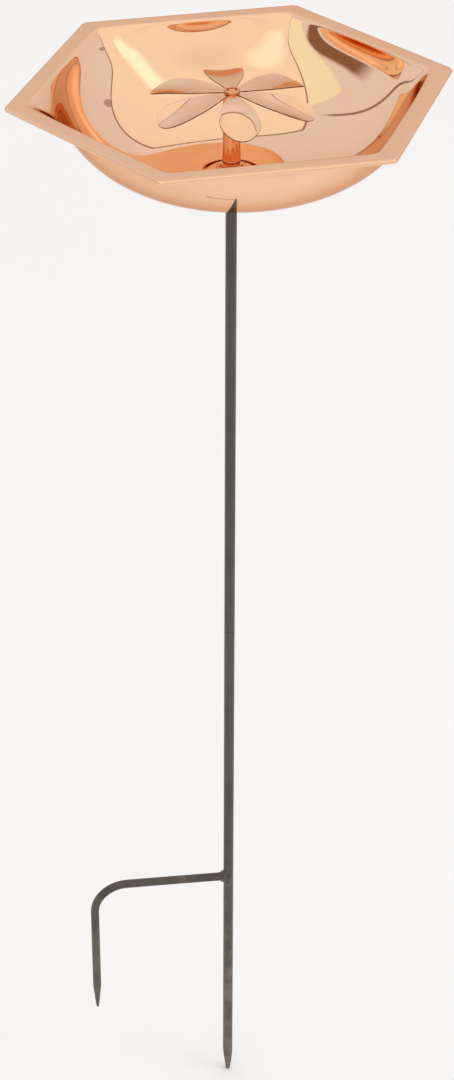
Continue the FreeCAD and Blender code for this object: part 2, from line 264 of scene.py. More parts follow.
# %% The petals' cut edges, browned by heat and handling
def browned_edge():
    paint = Paint("browned copper edge")
    wear = paint.noise(90.0, 3.0, 0.6).between(0.45, 0.75)
    colour = paint.mix(wear, rgb(0.15, 0.06, 0.03), rgb(0.42, 0.19, 0.11))
    return paint.finish(Base_Color=colour, Metallic=1.0, Roughness=0.34 - wear * 0.12)


# %% Copper for the stem, which is tube with drawn lines along it
def copper_stem():
    paint = Paint("polished copper tube")
    drawn = paint.noise(1.0, 3.0, 0.6, 0.0, paint.stretched(1500.0, 1500.0, 25.0))
    warmth = paint.noise(40.0, 3.0).between(0.35, 0.7)
    colour = paint.mix(warmth, rgb(0.82, 0.40, 0.23), rgb(0.74, 0.33, 0.18))
    return paint.finish(Base_Color=colour, Metallic=1.0, Specular_Tint=GRAZING,
                        Roughness=drawn * 0.05 + 0.035, Normal=paint.bump(drawn, 0.004 * MM))


# %% [markdown]
# ## Coated rod, weld, rubber, brass and plated steel
#
# The rods are steel with a dark brown-grey coat that looks satin. Close up, such a coat has a fine
# orange-peel texture. It is thinner and browner on edges, and near the ground it picks up dust and fine
# vertical scuffs. The pieces that only show when the bird bath is taken apart get plainer finishes, but
# still with grain of their own.

# %% Dark coat on the rods
def rod_coat(name, grit):
    """grit is how much soil the foot of the rod has picked up."""
    paint = Paint(name)
    height = paint.axes()[2]
    peel = paint.noise(900.0, 2.0, 0.5)
    cloud = paint.noise(14.0, 4.0, 0.6).between(0.3, 0.75)
    soil = (paint.noise(60.0, 5.0, 0.65) - height * 1.1).between(0.5, 0.85) * grit
    scuff = paint.noise(1.0, 4.0, 0.7, 0.0, paint.stretched(700.0, 700.0, 18.0)).between(0.62, 0.8)
    coat = paint.mix(cloud, rgb(0.060, 0.050, 0.047), rgb(0.094, 0.080, 0.075))
    worn = paint.mix(scuff * 0.5, coat, rgb(0.17, 0.15, 0.14))
    colour = paint.mix(soil, worn, rgb(0.20, 0.165, 0.13))
    return paint.finish(Base_Color=colour, Metallic=0.15,
                        Roughness=cloud * 0.10 + soil * 0.25 + scuff * 0.08 + 0.34,
                        Normal=paint.bump(peel, 0.06 * MM, 0.7))


# %% Weld metal under the same coat
def weld_coat():
    paint = Paint("coated weld")
    ripple = paint.noise(420.0, 4.0, 0.65)
    pits = paint.noise(1100.0, 2.0, 0.5).between(0.55, 0.7)
    colour = paint.mix(ripple, rgb(0.050, 0.044, 0.042), rgb(0.11, 0.095, 0.085))
    return paint.finish(Base_Color=colour, Metallic=0.2, Roughness=pits * 0.2 + 0.38,
                        Normal=paint.bump(ripple - pits * 0.4, 0.35 * MM))


# %% Rubber, brass and plated steel
def seal_rubber():
    paint = Paint("seal rubber")
    bloom = paint.noise(160.0, 4.0, 0.6).between(0.4, 0.75)
    return paint.finish(Base_Color=paint.mix(bloom, rgb(0.018, 0.018, 0.018), rgb(0.05, 0.05, 0.048)),
                        Roughness=bloom * 0.2 + 0.55, Normal=paint.bump(paint.noise(1500.0, 2.0), 0.05 * MM))


def turned_brass():
    paint = Paint("turned brass")
    lathe = paint.noise(1.0, 3.0, 0.6, 0.0, paint.stretched(20.0, 20.0, 4000.0))
    return paint.finish(Base_Color=paint.mix(lathe, rgb(0.72, 0.50, 0.20), rgb(0.83, 0.62, 0.30)),
                        Metallic=1.0, Roughness=lathe * 0.15 + 0.18, Normal=paint.bump(lathe, 0.02 * MM))


def plated_steel():
    paint = Paint("zinc-plated steel")
    flecks = paint.noise(500.0, 4.0, 0.7)
    return paint.finish(Base_Color=paint.mix(flecks, rgb(0.52, 0.53, 0.52), rgb(0.68, 0.68, 0.66)),
                        Metallic=1.0, Roughness=flecks * 0.2 + 0.2, Normal=paint.bump(flecks, 0.02 * MM))


FINISH = {
    "browned_edge": browned_edge(),
    "polished_copper_dish": copper_dish(),
    "polished_copper_petals": copper_petals(),
    "polished_copper_stem": copper_stem(),
    "black_rod": rod_coat("dark coated rod", 0.25),
    "stake_rod": rod_coat("dark coated stake", 0.8),
    "weld": weld_coat(),
    "seal_rubber": seal_rubber(),
    "brass_insert": turned_brass(),
    "zinc_steel": plated_steel(),
}
print("finishes:", ", ".join(sorted(FINISH)))

# %% [markdown]
# ## Turning a bmesh into a piece
#
# Every piece ends the same way: doubles are merged, faces are turned outwards, the mesh is shaded smooth
# except at real edges, it gets its finish, the object is attached to the body it rides on, and the CAD nodes
# it stands for are hidden. One function does all of it, so that no piece can miss a step.

# %% Finish one piece
DOUBLES = 0.001 * MM


def make_piece(name, bm, finish, body, *stands_for, crisp=40.0, sheet=False):
    """Edges sharper than crisp, in degrees, stay sharp.

    sheet is for an open skin that gets its thickness later: its upper side becomes its outer side.
    """
    bmesh.ops.remove_doubles(bm, verts=bm.verts, dist=DOUBLES)
    bmesh.ops.recalc_face_normals(bm, faces=bm.faces)
    if sheet and sum(f.normal.z for f in bm.faces) < 0.0:
        bmesh.ops.reverse_faces(bm, faces=bm.faces)
    mesh = bpy.data.meshes.new(name)
    bm.to_mesh(mesh)
    bm.free()
    mesh.shade_smooth()
    mesh.set_sharp_from_angle(angle=math.radians(crisp))
    mesh.materials.append(FINISH[finish])
    piece = bpy.data.objects.new(name, mesh)
    bpy.context.scene.collection.objects.link(piece)
    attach(piece, body)
    if stands_for:
        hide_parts(*stands_for)
    print("%-16s %6d faces on %s" % (name, len(mesh.polygons), body))
    return piece


# %% [markdown]
# ## The dish
#
# The real dish is one disc of copper sheet. It is pressed into a round bowl, and its upper part is drawn out
# to six corners that end in a flat hexagonal rim. The rim's edge is folded down so that it isn't sharp.
#
# It could be carved from a hexagon with a subdivision surface, but mirrors show every uneven quad. So the
# dish is grown ring by ring from a circle round its centre hole: each new ring is extruded from the last,
# and then placed by one formula. Low down the formula gives circles. Towards the rim it gives a hexagon with
# softly rounded corners.

# %% Sizes of the dish
RIM_SIDES = 6
HALF_SIDE = math.pi / RIM_SIDES
RIM_CORNER_R = 184.0 * MM
RIM_WIDTH = 16.2 * MM
SHEET = 1.0 * MM
LIP_DROP = 3.0 * MM
BODY_R = 147.0 * MM
BODY_SHIFT = 5.0 * MM
SHIFT_TURN = math.radians(-15.0)
DISH_DEPTH = 75.0 * MM
FLOOR_POWER = 3.2
WALL_POWER = 1.6
CORNER_POWER = 8.0
SEAT_RISE = 3.0 * MM
SEAT_R = 17.0 * MM
SEAT_FOOT_R = 27.0 * MM
HOLE_R = 3.6 * MM
DISH_TURN = math.radians(5.5)
RIM_EDGE = RIM_CORNER_R * math.cos(HALF_SIDE)
WALL_EDGE = RIM_EDGE - RIM_WIDTH
print("dish: %.0f mm across its corners, %.0f mm deep" % (2 * RIM_CORNER_R / MM, DISH_DEPTH / MM))


# %% The outline of a hexagon with rounded corners
WALL_CRISPNESS = 70.0
FLAT_CRISPNESS = 90.0
EDGE_CRISPNESS = 250.0


def outline(angle, edge, crispness):
    """Distance from the centre to a hexagon's side, which is edge away from the centre at mid-side.

    The six sides are blended: the higher crispness is, the smaller the radius of the corners.
    """
    total = 0.0
    for k in range(RIM_SIDES):
        facing = math.cos(angle - DISH_TURN - HALF_SIDE * (2 * k + 1))
        if facing > 0.0:
            total += facing ** crispness
    return edge / total ** (1.0 / crispness)


def smooth_step(t):
    """0 up to t = 0, 1 from t = 1, and level at both ends of the climb between."""
    t = min(1.0, max(0.0, t))
    return t * t * (3.0 - 2.0 * t)


def level(s):
    """Share of the depth that is left below the rim: 1 at the centre, 0 at the rim."""
    return max(0.0, math.cos(s * math.pi / 2)) ** (2 / WALL_POWER)


# The share s at which the floor's circle has the seat's radius, where the seat's flat top begins.
SEAT_START = math.asin((SEAT_R / (BODY_R + BODY_SHIFT)) ** (FLOOR_POWER / 2)) / (math.pi / 2)


def wall_point(s, angle):
    """Inner face of the dish: s is 0 at the centre and 1 at the rim. Gives (radius, height)."""
    body = BODY_R + BODY_SHIFT * math.cos(angle - SHIFT_TURN)
    flare = (1.0 - level(s)) ** CORNER_POWER * (outline(angle, WALL_EDGE, WALL_CRISPNESS) - body)
    radius = body * math.sin(s * math.pi / 2) ** (2 / FLOOR_POWER) + flare
    rise = SEAT_RISE * smooth_step((SEAT_FOOT_R - radius) / (SEAT_FOOT_R - SEAT_R))
    return radius, RIM_TOP - DISH_DEPTH * min(1.0, level(s) / level(SEAT_START)) + rise


# %% [markdown]
# The fold between wall and rim is a small curve, not a corner. It starts on the wall just below the rim and
# ends on the flat, and its middle handle is where the wall's own slope would meet the rim's plane. That makes
# it tangent at both ends, so reflections run over it without a break.

# %% Fold, flat rim and turned-down lip
FOLD_START = 0.96
FOLD_END = 3.0 * MM
LIP_R = 1.4 * MM
WALL_RINGS = 90
RING_POWER = 1.6         # over 1 sets the rings closer towards the seat
FOLD_RINGS = 6
FLAT_RINGS = 4
LIP_RINGS = 5


def fold_point(t, angle):
    """The rounded fold from the wall (t = 0) to the flat rim (t = 1)."""
    step = 0.001
    r0, z0 = wall_point(FOLD_START, angle)
    r1, z1 = wall_point(FOLD_START + step, angle)
    reach = (RIM_TOP - z0) / (z1 - z0)
    handle = (r0 + (r1 - r0) * reach, RIM_TOP)
    end = (outline(angle, WALL_EDGE + FOLD_END, FLAT_CRISPNESS), RIM_TOP)
    a, b, c = (1 - t) ** 2, 2 * t * (1 - t), t * t
    return a * r0 + b * handle[0] + c * end[0], a * z0 + b * handle[1] + c * end[1]


def rim_point(across, drop, angle):
    """A point of the rim: across runs outwards from the wall's edge, drop runs down from the rim."""
    crispness = FLAT_CRISPNESS + (EDGE_CRISPNESS - FLAT_CRISPNESS) * across / RIM_WIDTH
    return outline(angle, WALL_EDGE + across, crispness), RIM_TOP - drop


def dish_rings():
    """The rings of the dish in order, each as a function of the angle."""
    rings = [lambda angle: (HOLE_R, SEAT_TOP)]
    first = SEAT_START * 0.5
    for i in range(WALL_RINGS + 1):
        s = first + (FOLD_START - first) * (i / WALL_RINGS) ** RING_POWER
        rings.append(lambda angle, s=s: wall_point(s, angle))
    for i in range(1, FOLD_RINGS + 1):
        rings.append(lambda angle, t=i / FOLD_RINGS: fold_point(t, angle))
    flat_end = RIM_WIDTH - LIP_R
    for i in range(1, FLAT_RINGS + 1):
        across = FOLD_END + (flat_end - FOLD_END) * i / FLAT_RINGS
        rings.append(lambda angle, a=across: rim_point(a, 0.0, angle))
    for i in range(1, LIP_RINGS + 1):
        bend = math.pi / 2 * i / LIP_RINGS
        across, drop = flat_end + LIP_R * math.sin(bend), LIP_R * (1 - math.cos(bend))
        rings.append(lambda angle, a=across, d=drop: rim_point(a, d, angle))
    rings.append(lambda angle: rim_point(RIM_WIDTH, LIP_DROP, angle))
    return rings


# %% Grow a skin ring by ring
def extrude_ring(bm, edges):
    """Extrudes a ring of edges in place. Gives the new ring's vertices and edges."""
    grown = bmesh.ops.extrude_edge_only(bm, edges=edges)["geom"]
    verts = [g for g in grown if isinstance(g, bmesh.types.BMVert)]
    fresh = set(verts)
    return verts, [g for g in grown if isinstance(g, bmesh.types.BMEdge) and fresh.issuperset(g.verts)]


def grow(rings, segments):
    """A skin round the Z axis: each ring gives (radius, height) at an angle."""
    bm = bmesh.new()
    verts = bmesh.ops.create_circle(bm, cap_ends=False, segments=segments, radius=1.0)["verts"]
    edges = list(bm.edges)
    for number, place in enumerate(rings):
        if number:
            verts, edges = extrude_ring(bm, edges)
        for v in verts:
            angle = math.atan2(v.co.y, v.co.x)
            radius, height = place(angle)
            v.co = (radius * math.cos(angle), radius * math.sin(angle), height)
    return bm


# %% The dish, a skin thickened to a sheet
def thicken(piece, thickness):
    """Gives a skin its thickness, on its inner side."""
    wall = piece.modifiers.new("sheet thickness", "SOLIDIFY")
    wall.thickness = thickness
    wall.offset = -1.0
    return wall


SPOKES = 288
dish = make_piece("dish", grow(dish_rings(), SPOKES), "polished_copper_dish", "dish", "bowl", sheet=True)
thicken(dish, SHEET)

# %% [markdown]
# ## The petals
#
# Six petals are cut from thinner copper and beaten into shallow spoons: narrow at the root, broad near the
# end, drooping outwards, with sides that curl up. One grid is bent into that shape. Its rows follow the
# petal's length and its columns its width, and the last row shrinks to a point on the round tip. The same
# petal is then turned to six places. The cut edge all round is rounded a little and gets the browned finish.

# %% Sizes of a petal
PETALS = 6
PETAL_SHEET = 0.9 * MM
PETAL_ROOT_R = 4.6 * MM
PETAL_LEN = 70.5 * MM
PETAL_ROOT_W = 4.6 * MM
PETAL_W = 32.0 * MM
PETAL_DROOP = 11.0 * MM
PETAL_CUP = 3.4 * MM
PETAL_TURN = math.radians(30.0)
PETAL_EDGE = 0.38 * MM
SHOULDER = 0.74          # share of the length at which a petal is widest
NECK_POWER = 0.85
SWELL_POWER = 1.25
print("petals: %d of %.1f mm, %.0f mm wide" % (PETALS, (PETAL_LEN - PETAL_ROOT_R) / MM, PETAL_W / MM))


def petal_place(u, v):
    """A point of a petal along +X: u runs from root to tip, v from side to side."""
    half_root, half = PETAL_ROOT_W / 2, PETAL_W / 2
    if u < SHOULDER:
        along = u
        swell = math.sin(math.pi / 2 * (u / SHOULDER) ** NECK_POWER)
        width = half_root + (half - half_root) * swell ** SWELL_POWER
    else:
        sweep = math.pi / 2 * (u - SHOULDER) / (1.0 - SHOULDER)
        along = SHOULDER + (1.0 - SHOULDER) * math.sin(sweep)
        width = half * math.cos(sweep)
    x = PETAL_ROOT_R + (PETAL_LEN - PETAL_ROOT_R) * along
    y = width * v
    curl = PETAL_CUP * along * (y / half) ** 2
    return Vector((x, y, PETAL_TOP - PETAL_DROOP * along ** 2 + curl))


def build_petal(turn):
    """A petal's skin, bent from a flat grid and turned to its place."""
    bm = bmesh.new()
    bmesh.ops.create_grid(bm, x_segments=56, y_segments=20, size=1.0)
    for vert in bm.verts:
        vert.co = petal_place((vert.co.x + 1.0) / 2, vert.co.y)
    bmesh.ops.rotate(bm, verts=bm.verts, cent=(0, 0, 0), matrix=Matrix.Rotation(turn, 3, "Z"))
    return bm


# %% Six petals
for number in range(PETALS):
    node = "petal_%d" % (number + 1)
    leaf = make_piece("leaf_%d" % (number + 1), build_petal(PETAL_TURN + math.tau * number / PETALS),
                      "polished_copper_petals", "flower", node, sheet=True)
    leaf.data.materials.append(FINISH["browned_edge"])
    thicken(leaf, PETAL_SHEET).material_offset_rim = 1
    edge = leaf.modifiers.new("rounded edge", "BEVEL")
    edge.width = PETAL_EDGE
    edge.material = 1
    edge.segments = 2
    edge.limit_method = "ANGLE"
    edge.angle_limit = math.radians(50.0)

# %% [markdown]
# ## Turned pieces
#
# The stem, its foot, the hub, the collar and the rods are all round. A turned piece is a profile, drawn as
# (radius, height) points from top to bottom, and spun once round the axis. Rounded stretches of the profile
# are short arcs.

# %% Spin a profile
def arc(centre_r, centre_z, radius, start, end, steps=6):
    """Profile points on an arc; angles in degrees, 0 pointing outwards and 90 up."""
    points = []
    for i in range(steps + 1):
        a = math.radians(start + (end - start) * i / steps)
        points.append((centre_r + radius * math.cos(a), centre_z + radius * math.sin(a)))
    return points


def draw_profile(bm, points):
    """A line through (radius, height) points, ready to be spun."""
    verts = [bm.verts.new((r, 0.0, z)) for r, z in points]
    return verts + [bm.edges.new(pair) for pair in zip(verts, verts[1:])]


def turn_profile(points, segments=96):
    """A round piece: the profile spun once round the axis."""
    bm = bmesh.new()
    bmesh.ops.spin(bm, geom=draw_profile(bm, points), cent=(0, 0, 0), axis=UP, angle=math.tau, steps=segments,
                   use_merge=True)
    return bm


# %% [markdown]
# The stem is a tube that stands in a foot. The foot is a small turned flange with a rounded rim, a groove
# where the ring meets the flange, and a low collar round the tube. The tube flares a little as it enters it.

# %% Stem tube and foot
FOOT_LOW, FOOT_HIGH = height_range("stem_base")
TUBE_LOW, TUBE_HIGH = height_range("stem_tube")
CAP_LOW, CAP_HIGH = height_range("stem_cap")
FOOT_R = radius_of("stem_base")
FOOT_T = TUBE_LOW - FOOT_LOW
STEM_BORE_R = radius_of("stem_insert")
COLLAR_R = 8.5 * MM
print("stem: %.0f mm tube, %.0f mm long, in a foot of %.0f mm"
      % (2 * STEM_R / MM, (TUBE_HIGH - TUBE_LOW) / MM, 2 * FOOT_R / MM))


def build_foot():
    """A flange with a rounded rim, a groove, and a low collar round the tube."""
    edge_r, groove_r, collar_edge = FOOT_T * 0.48, 1.1 * MM, 0.7 * MM
    tube_gap = 0.05 * MM
    profile = [(STEM_BORE_R, FOOT_LOW), (FOOT_R - edge_r, FOOT_LOW)]
    profile += arc(FOOT_R - edge_r, FOOT_LOW + edge_r, edge_r, -90, 90, 12)
    profile += [(FOOT_R - 1.6 * edge_r, FOOT_LOW + 1.9 * edge_r)]
    profile += arc(COLLAR_R + 1.3 * MM, FOOT_LOW + FOOT_T, groove_r, -90, -180, 6)
    profile += arc(COLLAR_R - collar_edge, FOOT_HIGH - collar_edge, collar_edge, 0, 90, 5)
    profile += [(STEM_R + tube_gap, FOOT_HIGH), (STEM_R + tube_gap, TUBE_LOW), (STEM_BORE_R, TUBE_LOW),
                (STEM_BORE_R, FOOT_LOW)]
    return turn_profile(profile)


def build_tube():
    """A plain tube that swells a little just above the foot."""
    flare, levels = 0.5 * MM, 24
    profile = [(STEM_BORE_R, TUBE_LOW), (STEM_R, TUBE_LOW), (STEM_R, FOOT_HIGH)]
    rise = TUBE_HIGH - FOOT_HIGH
    for i in range(levels + 1):
        t = i / levels
        profile.append((STEM_R + flare * (1.0 - smooth_step(t * 3.0)) * smooth_step(t * 30.0),
                        FOOT_HIGH + rise * t * 0.995))
    profile += [(STEM_R - 0.2 * MM, TUBE_HIGH), (STEM_BORE_R, TUBE_HIGH), (STEM_BORE_R, TUBE_LOW)]
    return turn_profile(profile)


def build_cap():
    """A plug that fills the tube's top, with a rounded shoulder and a hole for the screw."""
    thread_r = 2.0 * MM
    shelf = CAP_HIGH - 2.0 * MM
    profile = [(thread_r, CAP_LOW), (STEM_BORE_R - 0.4 * MM, CAP_LOW), (STEM_BORE_R, CAP_LOW + 0.4 * MM),
               (STEM_BORE_R, shelf), (STEM_R - 0.3 * MM, shelf)]
    profile += arc(STEM_R - 0.3 * MM, shelf + 0.3 * MM, 0.3 * MM, -90, 0, 4)
    profile += arc(STEM_R - 0.6 * MM, CAP_HIGH - 0.6 * MM, 0.6 * MM, 0, 90, 6)
    profile += [(thread_r, CAP_HIGH), (thread_r, CAP_LOW)]
    return turn_profile(profile)


make_piece("stem_foot", build_foot(), "polished_copper_stem", "flower", "stem_base")
make_piece("stem_pipe", build_tube(), "polished_copper_stem", "flower", "stem_tube")
make_piece("stem_plug", build_cap(), "polished_copper_stem", "flower", "stem_cap")

# %% [markdown]
# ## Hub and screw
#
# A cupped washer clamps the petals' roots, and a round-headed screw sits in its recess. The screw's head has
# a hexagonal socket. Its outline is a hexagon whose sides are divided, so that the ring above the socket can
# swell into a circle and then run down the dome.

# %% Hub
HUB_LOW, HUB_HIGH = height_range("flower_hub")
HUB_R = radius_of("flower_hub")
SCREW_LOW, SCREW_HIGH = height_range("hub_screw")
SCREW_R = radius_of("hub_screw")
SHANK_R = 2.0 * MM
HUB_RECESS = 1.3 * MM
RECESS_R = 4.2 * MM


def build_hub():
    """A washer with rounded edges and a flat recess for the screw's head."""
    floor = HUB_HIGH - HUB_RECESS
    profile = [(SHANK_R + 0.1 * MM, HUB_LOW), (HUB_R - 0.3 * MM, HUB_LOW)]
    profile += arc(HUB_R - 0.3 * MM, HUB_LOW + 0.3 * MM, 0.3 * MM, -90, 0, 4)
    profile += arc(HUB_R - 1.0 * MM, HUB_HIGH - 1.0 * MM, 1.0 * MM, 0, 90, 8)
    profile += arc(RECESS_R + 0.4 * MM, HUB_HIGH - 0.4 * MM, 0.4 * MM, 90, 180, 4)
    profile += [(RECESS_R, floor), (SHANK_R + 0.1 * MM, floor), (SHANK_R + 0.1 * MM, HUB_LOW)]
    return turn_profile(profile)


# %% Screw with a hexagonal socket
def build_screw():
    """Rings from the socket's floor, up its six walls, over the dome and down the shank."""
    seat = HUB_HIGH - HUB_RECESS
    dome = SCREW_HIGH - seat
    socket_r = 1.45 * MM
    centre_r = 0.02 * MM
    divisions, dome_rings = 8, 10

    def hexagon_ring(angle):
        side = math.tau / RIM_SIDES
        return socket_r * math.cos(side / 2) / math.cos((angle % side) - side / 2)

    def height_at(radius):
        return seat + dome * math.sqrt(max(0.0, 1.0 - (radius / SCREW_R) ** 2)) ** 1.3

    rings = [lambda a: (centre_r, SCREW_HIGH - 1.2 * MM),
             lambda a: (hexagon_ring(a) * 0.5, SCREW_HIGH - 1.1 * MM),
             lambda a: (hexagon_ring(a) * 0.97, SCREW_HIGH - 1.0 * MM),
             lambda a: (hexagon_ring(a), SCREW_HIGH - 0.12 * MM),
             lambda a: (hexagon_ring(a) * 1.06, SCREW_HIGH - 0.03 * MM)]
    start = socket_r * 1.12
    for i in range(dome_rings + 1):
        t = math.sin(math.pi / 2 * i / dome_rings)
        rings.append(lambda a, r=start + (SCREW_R - start) * t: (r, height_at(r)))
    rings += [lambda a: (SHANK_R, seat), lambda a: (SHANK_R, SCREW_LOW + 0.4 * MM),
              lambda a: (SHANK_R - 0.4 * MM, SCREW_LOW), lambda a: (centre_r, SCREW_LOW)]
    bm = grow(rings, RIM_SIDES * divisions)
    bmesh.ops.holes_fill(bm, edges=bm.edges, sides=0)
    return bm


make_piece("hub_cup", build_hub(), "polished_copper_stem", "flower", "flower_hub")
make_piece("hub_bolt", build_screw(), "polished_copper_stem", "flower", "hub_screw", crisp=30.0)

# %% [markdown]
# ## Rods
#
# Both rods are cut from the same round bar. Their ends are chamfered, so the joint between them shows as a
# thin dark line. The lower rod is cut to a point by four flats: it is turned as a plain bar first, and then
# four planes slice it, as a grinder would.

# %% Upper rod with its collar
CHAMFER = 0.7 * MM
STUD_R = 3.0 * MM
COLLAR_LOW, COLLAR_HIGH = height_range("support_collar")


def bar_profile(bottom, top, bore_r):
    """A chamfered bar that stays open at bore_r at both ends."""
    return [(bore_r, top), (ROD_R - CHAMFER, top), (ROD_R, top - CHAMFER), (ROD_R, bottom + CHAMFER),
            (ROD_R - CHAMFER, bottom), (bore_r, bottom)]


def build_upper_rod():
    """A chamfered bar, bored for its studs."""
    bar = bar_profile(POLE_JOINT, ROD_TOP, STUD_R)
    return turn_profile(bar + [bar[0]])


def build_collar():
    """A collar that widens upwards to a rounded shoulder under the washer."""
    r = radius_of("support_collar")
    profile = [(ROD_R, COLLAR_LOW)]
    profile += arc(ROD_R + 0.9 * MM, COLLAR_LOW + 0.9 * MM, 0.9 * MM, -90, -20, 6)
    profile += [(r - 0.8 * MM, COLLAR_HIGH - 3.4 * MM)]
    profile += arc(r - 0.8 * MM, COLLAR_HIGH - 2.6 * MM, 0.8 * MM, -60, 0, 5)
    profile += arc(r - 0.6 * MM, COLLAR_HIGH - 0.6 * MM, 0.6 * MM, 0, 90, 5)
    profile += [(ROD_R, COLLAR_HIGH), (ROD_R, COLLAR_LOW)]
    return turn_profile(profile)


make_piece("pole_rod", build_upper_rod(), "black_rod", "pole", "upper_rod", crisp=30.0)
make_piece("pole_collar", build_collar(), "black_rod", "pole", "support_collar")

# %% Cut a piece with a plane
def slice_off(bm, point, facing):
    """Cuts away what lies beyond a plane and closes the cut."""
    whole = list(bm.verts) + list(bm.edges) + list(bm.faces)
    cut = bmesh.ops.bisect_plane(bm, geom=whole, plane_co=point, plane_no=facing, clear_outer=True)
    rim = [g for g in cut["geom_cut"] if isinstance(g, bmesh.types.BMEdge)]
    bmesh.ops.holes_fill(bm, edges=rim, sides=0)


# %% Lower rod, turned and then cut to a four-sided point
SOCKET_R = 3.05 * MM
SOCKET_DEPTH = 20.0 * MM
POINT_LEN = 26.0 * MM
POINT_TIP = 3.6 * MM
POINT_SIDES = 4


def build_lower_rod():
    profile = [(0.0, SPIKE_END), (ROD_R, SPIKE_END), (ROD_R, POLE_JOINT - CHAMFER),
               (ROD_R - CHAMFER, POLE_JOINT), (SOCKET_R, POLE_JOINT), (SOCKET_R, POLE_JOINT - SOCKET_DEPTH),
               (0.0, POLE_JOINT - SOCKET_DEPTH)]
    bm = turn_profile(profile)
    lean = math.atan2(ROD_R - POINT_TIP / 2, POINT_LEN)
    for k in range(POINT_SIDES):
        turn = Matrix.Rotation(math.tau * k / POINT_SIDES, 3, "Z")
        foot = turn @ Vector((POINT_TIP / 2, 0, SPIKE_END))
        slice_off(bm, foot, turn @ Vector((math.cos(lean), 0, -math.sin(lean))))
    return bm


make_piece("stake_rod", build_lower_rod(), "stake_rod", "stake", "lower_rod", crisp=25.0)

# %% [markdown]
# ## The side prong
#
# A thinner bar leaves the pole at ground level, turns down through a generous bend and ends in a point. It
# stops the stake from turning. It is swept the way a pipe bender works: a circle is extruded along the arm,
# spun through the bend, extruded down the leg and drawn in at the tip.

# %% Prong
PRONG_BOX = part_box("prong")
PRONG_R = (PRONG_BOX[1][1] - PRONG_BOX[0][1]) / 2
ARM_Z = PRONG_BOX[1][2] - PRONG_R
LEG_X = PRONG_BOX[0][0] + PRONG_R
PRONG_END = PRONG_BOX[0][2]
PRONG_BEND_R = 32.0 * MM
PRONG_TAPER = 28.0 * MM
PRONG_TIP_R = 1.3 * MM
print("prong: %.0f mm out from the pole, %.0f mm down" % (-LEG_X / MM, (ARM_Z - PRONG_END) / MM))


def build_prong():
    """One tube, swept from the pole along the arm, round the bend and down to the tip."""
    bm = bmesh.new()
    start = Vector((-ROD_R + 0.6 * MM, 0, ARM_Z))
    facing = Matrix.Translation(start) @ Matrix.Rotation(math.pi / 2, 4, "Y")
    bmesh.ops.create_circle(bm, cap_ends=False, segments=40, radius=PRONG_R, matrix=facing)
    edges = list(bm.edges)

    def draw_out(edges, shift, shrink=1.0, about=None):
        """Extrudes the open end by a shift and narrows it about a point."""
        verts, edges = extrude_ring(bm, edges)
        bmesh.ops.translate(bm, verts=verts, vec=shift)
        if about is not None:
            bmesh.ops.scale(bm, verts=verts, vec=(shrink, shrink, 1.0), space=Matrix.Translation(-about))
        return edges

    straight_steps, taper_steps, tip_steps = 6, 8, 5
    bend_x = LEG_X + PRONG_BEND_R
    arm = bend_x - start.x
    for i in range(straight_steps):
        edges = draw_out(edges, (arm / straight_steps, 0, 0))
    ends = list({v for e in edges for v in e.verts})
    bend = bmesh.ops.spin(bm, geom=ends + edges, cent=(bend_x, 0, ARM_Z - PRONG_BEND_R), axis=(0, 1, 0),
                          angle=-math.pi / 2, steps=20)["geom_last"]
    edges = [g for g in bend if isinstance(g, bmesh.types.BMEdge)]
    taper_top = PRONG_END + PRONG_TAPER
    leg = ARM_Z - PRONG_BEND_R - taper_top
    for i in range(straight_steps):
        edges = draw_out(edges, (0, 0, -leg / straight_steps))
    axis = Vector((LEG_X, 0, 0))
    radii = [PRONG_R + (PRONG_TIP_R - PRONG_R) * i / taper_steps for i in range(taper_steps + 1)]
    for before, after in zip(radii, radii[1:]):
        edges = draw_out(edges, (0, 0, -(PRONG_TAPER - PRONG_TIP_R) / taper_steps), after / before, axis)
    for i in range(1, tip_steps + 1):
        a, b = math.pi / 2 * (i - 1) / tip_steps, math.pi / 2 * i / tip_steps
        shrink = max(math.cos(b), 0.05) / math.cos(a)
        edges = draw_out(edges, (0, 0, -PRONG_TIP_R * (math.sin(b) - math.sin(a))), shrink, axis)
    bmesh.ops.holes_fill(bm, edges=bm.edges, sides=0)
    return bm


make_piece("stake_prong", build_prong(), "stake_rod", "stake", "prong", crisp=35.0)

# %% [markdown]
# ## The weld
#
# The arm is joined by one bead of weld metal laid round its root. A real bead is a row of overlapping
# ripples, widest on the pole and feathering out along the arm. It starts as a cone of many thin rings, and
# each point is pushed out by a ripple that follows the bead round and by a slower wobble.

# %% Weld bead
WELD_R = 7.0 * MM
WELD_LEN = 9.0 * MM
WELD_RIPPLES = 15
WELD_SINK = 0.25 * MM    # how far the bead reaches into the pole


def build_weld():
    """A cone in (radius, share of the length), rippled and then laid along the arm."""
    rings, segments = 18, 120
    profile = []
    for i in range(rings + 1):
        t = i / rings
        radius = PRONG_R + 0.1 * MM + (WELD_R - PRONG_R) * (1.0 - t) ** 1.6
        profile.append((radius, t))
    bm = turn_profile(profile, segments)
    for v in bm.verts:
        t = v.co.z
        angle = math.atan2(v.co.y, v.co.x)
        radius = math.hypot(v.co.x, v.co.y)
        crest = abs(math.sin(WELD_RIPPLES * angle / 2 + 2.2 * t)) ** 0.6
        wobble = 0.5 + 0.5 * math.sin(3.0 * angle + 1.0) * math.cos(2.0 * angle)
        fade = math.sin(math.pi * min(1.0, t * 1.15 + 0.12))
        radius += (0.35 * crest - 0.25 + 0.25 * wobble) * MM * fade
        across, rise = radius * math.cos(angle), radius * math.sin(angle)
        pole = math.sqrt(max(0.0, ROD_R ** 2 - across ** 2)) if abs(across) < ROD_R else 0.0
        root = pole - WELD_SINK
        reach = root + (WELD_LEN - root) * t
        v.co = (-reach, across, ARM_Z + rise)
    bmesh.ops.holes_fill(bm, edges=bm.edges, sides=0)
    return bm


